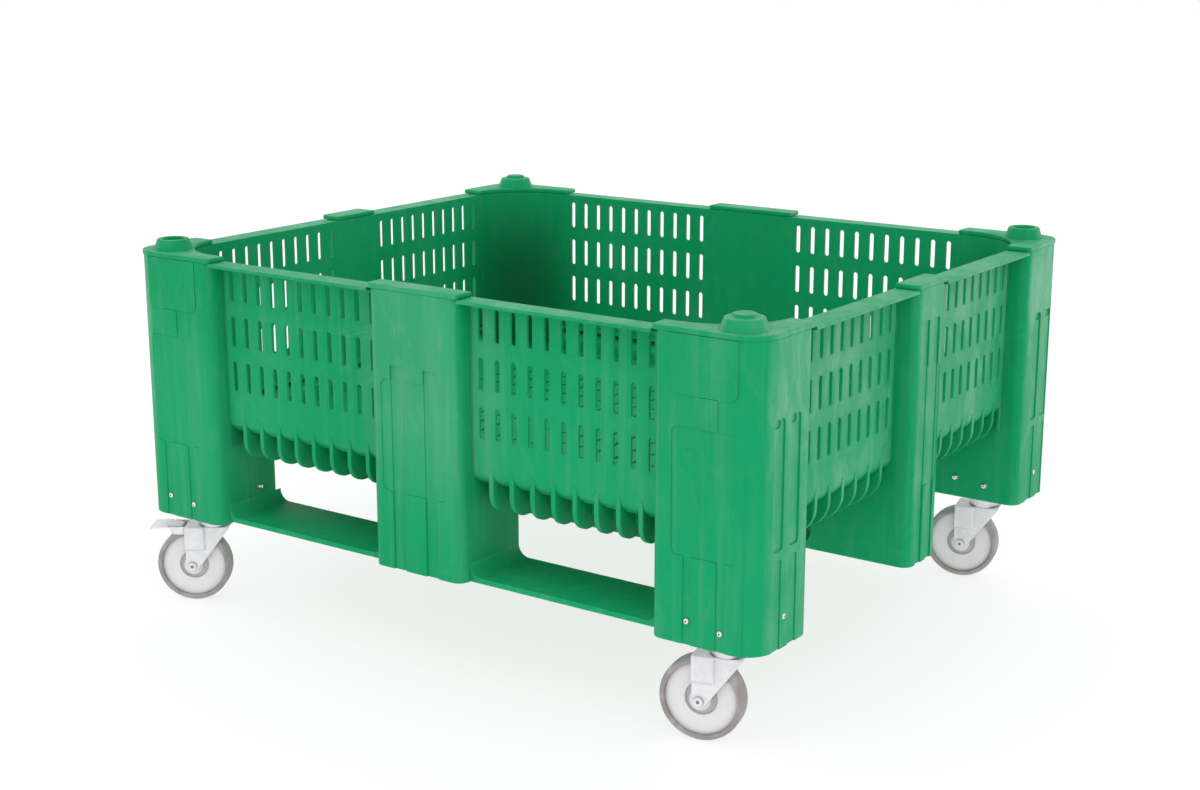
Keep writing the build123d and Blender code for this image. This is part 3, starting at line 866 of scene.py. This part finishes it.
def hollow_below(obj, depth):
    """Open the underside of a leg."""
    return step_up(obj, lambda f: f.normal.z < -SQUARE and middle(f).z < LEG_BOTTOM + CLOSE, SKIN, depth)


def press_front(obj, front, left, right, low, high, radius, depth):
    """Press a shallow panel into a face that looks to the front."""
    tool = plate("press", (left, front - PAST, low), (right, front + depth, high), "Y", radius, PRESS_STEPS)
    return cut(obj, tool)


def press_side(obj, side, near, far, low, high, radius, depth):
    """Press a shallow panel into a face that looks to the right."""
    tool = plate("press", (side - depth, near, low), (side + PAST, far, high), "X", radius, PRESS_STEPS)
    return cut(obj, tool)


def corner_skin(front, side):
    """The outer faces from the rim to the leg's skirt, with their pressed panels."""
    column = corner_plan("column", CORNER_STEP, SKIRT_BOTTOM, RIM_TOP, COLUMN_ENDS)
    cut(hollow_below(column, CORNER_HOLLOW), tub_room())
    for panel in FRONT_PRESSED:
        press_front(column, front, *panel)
    for start in SIDE_PRESSED_STARTS:
        near = start - LEG_Y
        for left, right, low, high, radius, depth in SIDE_PRESSED:
            press_side(column, side, near + left, near + right, low, high, radius, depth)

    def outside(edge):
        spot = middle(edge)
        return sharp(edge, 50) and (spot.y < FRONT_BAND - HALF_WIDTH or spot.x > HALF_LENGTH - SIDE_BAND)

    return round_over(column, outside, *COLUMN_EDGE)


def raised_plate(name, form, front):
    """A plate with rounded corners that stands out from the front face."""
    low = (form["left"], -HALF_WIDTH, form["low"])
    high = (form["right"], front + RAISED_BACK, form["high"])
    return plate(name, low, high, "Y", form["radius"], RAISED_STEPS)


def corner_badge(front):
    """The raised panel below the rim, square at its top."""
    low = (CORNER_X, -HALF_WIDTH - PAST, BADGE_TOP)
    above = block("above", low, (HALF_LENGTH, -CORNER_Y, TUB_ROOM_TOP))
    return cut(raised_plate("badge", BADGE, front), above)


def corner_cap():
    cap = cut(corner_plan("cap", 0.0, RIM_TOP, CAP_TOP, CAP_ENDS), tub_room())
    return round_over(cap, lambda e: sharp(e, 50) and not upright(e), *CAP_EDGE)


def stacking_knob(form):
    """A round knob on the cap, with its middle raised or sunk."""
    centre = (form["x"], form["y"], CAP_TOP + KNOB_HEIGHT / 2)
    knob = rod("knob", centre, form["base"], KNOB_HEIGHT, "Z", KNOB_SIDES, form["top"])
    step_up(knob, lambda f: f.normal.z > SQUARE, form["rim"], form["rise"])
    return round_over(knob, lambda e: sharp(e, 30) and middle(e).z > CAP_TOP + CLOSE, *KNOB_EDGE)


def corner_column(knob_form):
    front, side = CORNER_STEP - HALF_WIDTH, HALF_LENGTH - CORNER_STEP
    strip_low = (SHORT_FACE - WALL, -CORNER_Y - LAP, FLOOR_UNDER)
    return join(
        "column",
        corner_skin(front, side),
        corner_badge(front),
        raised_plate("tab", TAB, front),
        corner_cap(),
        block("strip", strip_low, (SHORT_FACE, -SHORT_FLAT, RIM_TOP)),
        foot_end(LONG_FACE, CORNER_X, CORNER_X + WALL),
        moved(foot_end(SHORT_FACE, -SHORT_FLAT - WALL, -SHORT_FLAT), facing_side("right")),
        stacking_knob(knob_form))


for knob_form, places in (
        (RAISED_KNOB, ("front_right", "back_left")),
        (SUNK_KNOB, ("front_left", "back_right"))):
    master = corner_column(knob_form)
    for place in places:
        sign_x, sign_y = CORNERS[place]
        piece = moved(copy_of(master, "corner_column_" + place), Matrix.Diagonal((sign_x, -sign_y, 1, 1)))
        keep(piece, "box", GREEN, "green_plastic", "corner_posts", "corner_legs")
    discard(master)


# Mid columns, drawn as the front one: post and deep leg in one moulding under a flat cap
def mid_moulding(face, outer, half, inner):
    """The post and its leg, open below."""
    column = block("column", (-half, MID_STEP - outer, LEG_BOTTOM), (half, WALL / 2 - face, RIM_TOP))
    deep = block("deep", (-half, LAP - face, LEG_BOTTOM), (half, -inner, FOOT_TOP))
    room_end = MID_ROOM - inner
    cut(deep, foot_room(face, room_end, -half - PAST, half + PAST))
    low = (-half - PAST, FOOT_DEPTH - face - MID_ROOM_LAP, MID_ROOM_LOW)
    cut(deep, block("room", low, (half + PAST, room_end, MID_ROOM_TOP)))
    round_over(column, lambda e: upright(e) and middle(e).y < MID_STEP - outer + CLOSE, *MID_ROUND)
    return hollow_below(merged(cut(column, deep, "UNION")), MID_HOLLOW)


def runner_seat(outer, half, inner):
    """The room that a runner takes at the bottom of a leg."""
    low = (-half - PAST, SEAT_START - outer, LEG_BOTTOM - PAST)
    return block("seat", low, (half + PAST, PAST - inner, LEG_BOTTOM + SEAT_HEIGHT))


def mid_cap(face, outer, half):
    cap = block("cap", (-half, -outer, RIM_TOP), (half, WALL - face, CAP_TOP))
    round_over(cap, lambda e: upright(e) and middle(e).y < CLOSE - outer, *MID_CAP_ROUND)
    return round_over(cap, lambda e: sharp(e, 50) and not upright(e), *CAP_EDGE)


def mid_column(face, outer, half, inner, seated, pressed):
    column = mid_moulding(face, outer, half, inner)
    if seated:
        cut(column, runner_seat(outer, half, inner))
    for panel in pressed:
        press_front(column, MID_STEP - outer, *panel)
    round_over(column, lambda e: sharp(e, 50) and middle(e).y < FRONT_BAND - outer, *MID_EDGE)
    return join("column", column, mid_cap(face, outer, half))


long_mid = mid_column(LONG_FACE, HALF_WIDTH, LONG_POST, CORNER_Y, True, LONG_MID_PRESSED)
short_mid = mid_column(SHORT_FACE, HALF_LENGTH, SHORT_POST, SHORT_LEG_INNER, False, SHORT_MID_PRESSED)
for side, master in (("front", long_mid), ("back", long_mid), ("left", short_mid), ("right", short_mid)):
    piece = moved(copy_of(master, "mid_column_" + side), facing_side(side))
    keep(piece, "box", GREEN, "green_plastic", "mid_post_" + side, "mid_leg_" + side)
discard(long_mid, short_mid)


# Runners, centre leg, floor, and the trays and plates of the castors
def drained_floor():
    """The floor with its drain slots between the ribs, closed over the centre leg."""
    floor = cad_copy("tub_floor")
    for start, count in DRAIN_GROUPS:
        tool = slot_tool((start, DRAIN_START, FLOOR_UNDER), "Z", (0, DRAIN_RUN, 0))
        row(tool, (DRAIN_PITCH, 0, 0), count)
        row(tool, (0, DRAIN_ROW_PITCH, 0), DRAIN_ROWS)
        cut(floor, tool)
    half_x, half_y = BLIND_HALF
    low, high = BLIND_LEVELS
    blind = block("blind", (-half_x, -half_y, FLOOR_UNDER + low), (half_x, half_y, FLOOR_UNDER + high))
    return join("drained_floor", floor, blind)


for name in ("runner_front", "runner_back", "runner_centre"):
    keep(softened(name, RUNNER_EDGE), "box", GREEN, "green_plastic", name)
coat("centre_leg", GREEN)
keep(drained_floor(), "box", GREEN, "green_plastic", "tub_floor")
coat("castor_trays", ZINC)
keep(softened("castor_plates", STEEL_EDGE), "box", ZINC, "zinc_steel", "castor_plates")


# Castors, drawn with the swivel axis at the origin and the wheel towards -X
def castor_place(place):
    """Where a castor's swivel axis is, with the castor's turn at rest."""
    sign_x, sign_y = CORNERS[place]
    swing = Matrix.Rotation(math.radians(SWINGS[place]), 4, "Z")
    return Matrix.Translation(at(sign_x * LEG_X, sign_y * LEG_Y, 0)) @ swing


def wheel_side(face):
    """The flat round face on either side of a wheel."""
    return abs(face.normal.y) > SQUARE and len(face.verts) >= WHEEL_SIDES


def make_tyre():
    tyre = rod("tyre", (-TRAIL, 0, AXLE_Z), WHEEL_RADIUS, TYRE_WIDTH, "Y", WHEEL_SIDES)
    round_over(tyre, lambda e: sharp(e, 60), *TYRE_SHOULDER)
    step_out(tyre, wheel_side, *TYRE_FLANK)
    return round_over(tyre, lambda e: sharp(e, 60), *TYRE_EDGE)


def make_core():
    core = rod("core", (-TRAIL, 0, AXLE_Z), CORE_RADIUS, CORE_WIDTH, "Y", WHEEL_SIDES)
    for width, rise in CORE_RINGS:
        step_out(core, wheel_side, width, rise)
    return round_over(core, lambda e: sharp(e, 60), *CORE_EDGE)


def bare_fork():
    """The fork without its plain axle ends, whose holes are closed."""
    fork = moved(cad_copy("fork_front_right"), castor_place("front_right").inverted())
    open_mesh(fork)
    pick("FACE", lambda f: abs(middle(f).y) > AXLE_CUT)
    bpy.ops.mesh.delete(type="FACE")
    pick("EDGE", lambda e: e.is_boundary)
    bpy.ops.mesh.edge_face_add()
    close_mesh()
    return round_over(fork, lambda e: sharp(e, 50) and abs(middle(e).y) > FORK_OUTSIDE, *FORK_EDGE)


def axle_head(side):
    """The hollow end of the axle on one side."""
    head = rod("head", (-TRAIL, side * AXLE_HEAD["y"], AXLE_Z),
               AXLE_HEAD["radius"], AXLE_HEAD["length"], "Y", SMALL_SIDES)
    step_out(head, lambda f: f.normal.y * side > SQUARE, AXLE_HEAD["rim"], AXLE_HEAD["sink"])
    return round_over(head, lambda e: sharp(e, 60), *AXLE_EDGE)


def side_plate(name, form, side):
    """A plate on one side of the fork."""
    y = side * form["y"]
    low = (form["far"], y - form["half"], form["low"])
    return block(name, low, (form["near"], y + form["half"], form["high"]))


def cheek_pad(side):
    """The raised pad on one cheek of the fork, smaller at its outer face."""
    cheek = side_plate("cheek", CHEEK, side)
    outer = CHEEK["y"] + CHEEK["half"]
    fixed = at(CHEEK["far"], side * outer, CHEEK["high"])
    open_mesh(cheek)
    pick("FACE", lambda f: f.normal.y * side > SQUARE)
    bpy.ops.transform.resize(value=CHEEK_TAPER, center_override=fixed)
    close_mesh()
    return round_over(cheek, lambda e: sharp(e, 25) and middle(e).y * side > outer - CLOSE, *CHEEK_EDGE)


def brake_lug(side):
    """The lug on one side that carries the pedal's pin."""
    lug = side_plate("lug", LUG, side)

    def low_far(edge):
        spot = middle(edge)
        across = abs(spot.y - side * LUG["y"]) < CLOSE
        return spot.x < LUG["far"] + CLOSE and spot.z < LUG["low"] + CLOSE and across

    return round_over(lug, low_far, *LUG_ROUND)


def make_fork(braked):
    parts = [bare_fork()]
    for side in (-1, 1):
        parts.append(axle_head(side))
        parts.append(cheek_pad(side))
        if braked:
            parts.append(brake_lug(side))
    if braked:
        parts.append(rod("pin", (PIN["x"], 0, PIN["z"]), PIN["radius"], PIN["length"], "Y", SMALL_SIDES))
    return join("fork", *parts)


tyre, core = make_tyre(), make_core()
forks = {True: make_fork(True), False: make_fork(False)}
for place in CORNERS:
    braked = place.endswith("left")
    for master, name, body, finish, slot, stands_for in (
            (tyre, "tyre", "wheel", RUBBER, "grey_rubber", "tyre"),
            (core, "core", "wheel", WHITE, "white_plastic", "wheel_core"),
            (forks[braked], "fork", "swivel", ZINC, "zinc_steel", "fork")):
        piece = moved(copy_of(master, name + "_dress_" + place), castor_place(place))
        keep(piece, body + "_" + place, finish, slot, stands_for + "_" + place)
    if braked:
        pedal = "brake_pedal_" + place
        keep(softened(pedal, STEEL_EDGE), "pedal_" + place, ZINC, "zinc_steel", pedal)
discard(tyre, core, forks[True], forks[False])


# Bolts that hold the castor trays
def make_bolt():
    head = rod("bolt", (0, BOLT_HEAD["y"], 0), BOLT_HEAD["radius"], BOLT_HEAD["length"], "Y", SMALL_SIDES)
    round_over(head, lambda e: sharp(e, 60) and middle(e).y < BOLT_HEAD["y"], *BOLT_ROUND)

    def flat_end(face):
        return face.normal.y < -SQUARE and len(face.verts) >= SMALL_SIDES

    step_out(head, flat_end, BOLT_HEAD["rim"], BOLT_HEAD["sink"])
    washer = rod("washer", (0, WASHER["y"], 0), WASHER["radius"], WASHER["length"], "Y", SMALL_SIDES)
    round_over(washer, lambda e: sharp(e, 60), *WASHER_EDGE)
    return join("bolt", head, washer)


def bolt_spots(sign_x, sign_y):
    """The places of a corner's bolts, each with the side that it faces."""
    outward_y, inward_y = ("front", "back") if sign_y < 0 else ("back", "front")
    outward_x, inward_x = ("right", "left") if sign_x > 0 else ("left", "right")
    leg_x, inner_y = sign_x * LEG_X, sign_y * CORNER_Y
    outer_x, outer_y = sign_x * (HALF_LENGTH - BOLT_SINK), sign_y * (HALF_WIDTH - BOLT_SINK)
    spots = [((leg_x + shift, outer_y, level), outward_y) for shift, level in OUTER_BOLTS]
    spots.append(((outer_x, sign_y * LEG_Y, OUTER_SIDE_BOLT), outward_x))
    spots += [((leg_x + shift, inner_y, level), inward_y) for shift, level in INNER_BOLTS]
    shift, level = INNER_SIDE_BOLT
    spots.append(((sign_x * CORNER_X, sign_y * (LEG_Y - shift), level), inward_x))
    return spots


bolt = make_bolt()
for place, signs in CORNERS.items():
    for number, (spot, side) in enumerate(bolt_spots(*signs)):
        matrix = Matrix.Translation(at(*spot)) @ facing_side(side)
        piece = moved(copy_of(bolt, "tray_bolt_%s_%d" % (place, number)), matrix)
        keep(piece, "box", BRIGHT, "zinc_steel")
discard(bolt)


# Stage: pale floor, soft light and the photo's camera, in metres and degrees
GROUND_SIZE = 40
SUN_SPREAD = 130
CAMERA_PLACE = (1.8156, -2.5845, 1.1333)
CAMERA_DOWN = 14.038
CAMERA_TURN = 35.272
CAMERA_LENS = 57.38
CAMERA_SENSOR = 36


def looked_at(tree):
    """1 where the floor or the sky is seen by the camera or in a gloss, 0 where it only lights the box."""
    rays = node(tree, "ShaderNodeLightPath", {}, {}, "Is Camera Ray")
    kinds = rays.socket.node.outputs
    return rays.most(Wire(tree, kinds["Is Glossy Ray"])).most(Wire(tree, kinds["Is Transmission Ray"]))


def paper():
    """A pale floor that glows a little."""
    surface, tree = new_surface("paper_floor")
    lift = 0.58 + looked_at(tree) * 0.16
    glow = node(tree, "ShaderNodeCombineColor", {}, {"Red": lift, "Green": lift, "Blue": lift})
    shader = node(tree, "ShaderNodeBsdfPrincipled", {}, {
        "Base Color": (0.3, 0.3, 0.3, 1), "Roughness": 0.9,
        "Emission Color": glow, "Emission Strength": 1.0})
    node(tree, "ShaderNodeOutputMaterial", {}, {"Surface": shader})
    return surface


def studio_sky():
    """An even white sky, a little brighter where it is seen."""
    world = bpy.data.worlds.new("studio")
    world.use_nodes = True
    tree = world.node_tree
    tree.nodes.clear()
    strength = looked_at(tree) * 0.1 + 0.9
    glow = node(tree, "ShaderNodeBackground", {}, {"Color": (1, 1, 1, 1), "Strength": strength})
    node(tree, "ShaderNodeOutputWorld", {}, {"Surface": glow})
    return world


def soft_sun(name, travel, power):
    """A wide even light that travels along a direction."""
    bpy.ops.object.light_add(type="SUN", location=(0, 0, 4))
    made = bpy.context.object
    made.name = name
    made.data.energy = power
    made.data.angle = math.radians(SUN_SPREAD)
    made.rotation_euler = Vector(travel).to_track_quat("-Z", "Y").to_euler()


bpy.ops.object.select_all(action="DESELECT")
bpy.ops.mesh.primitive_plane_add(size=GROUND_SIZE, location=(0, 0, 0))
ground = bpy.context.object
ground.name = "floor"
ground.data.materials.append(paper())

bpy.context.scene.world = studio_sky()
soft_sun("front_light", travel=(-0.1, 1.0, -0.34), power=0.3)
soft_sun("side_light", travel=(-1.0, 0.1, -0.34), power=0.2)

bpy.ops.object.camera_add(location=CAMERA_PLACE,
                          rotation=(math.radians(90 - CAMERA_DOWN), 0, math.radians(CAMERA_TURN)))
camera = bpy.context.object
camera.data.lens = CAMERA_LENS
camera.data.sensor_width = CAMERA_SENSOR
bpy.context.scene.camera = camera
bpy.context.scene.view_settings.view_transform = "Standard"
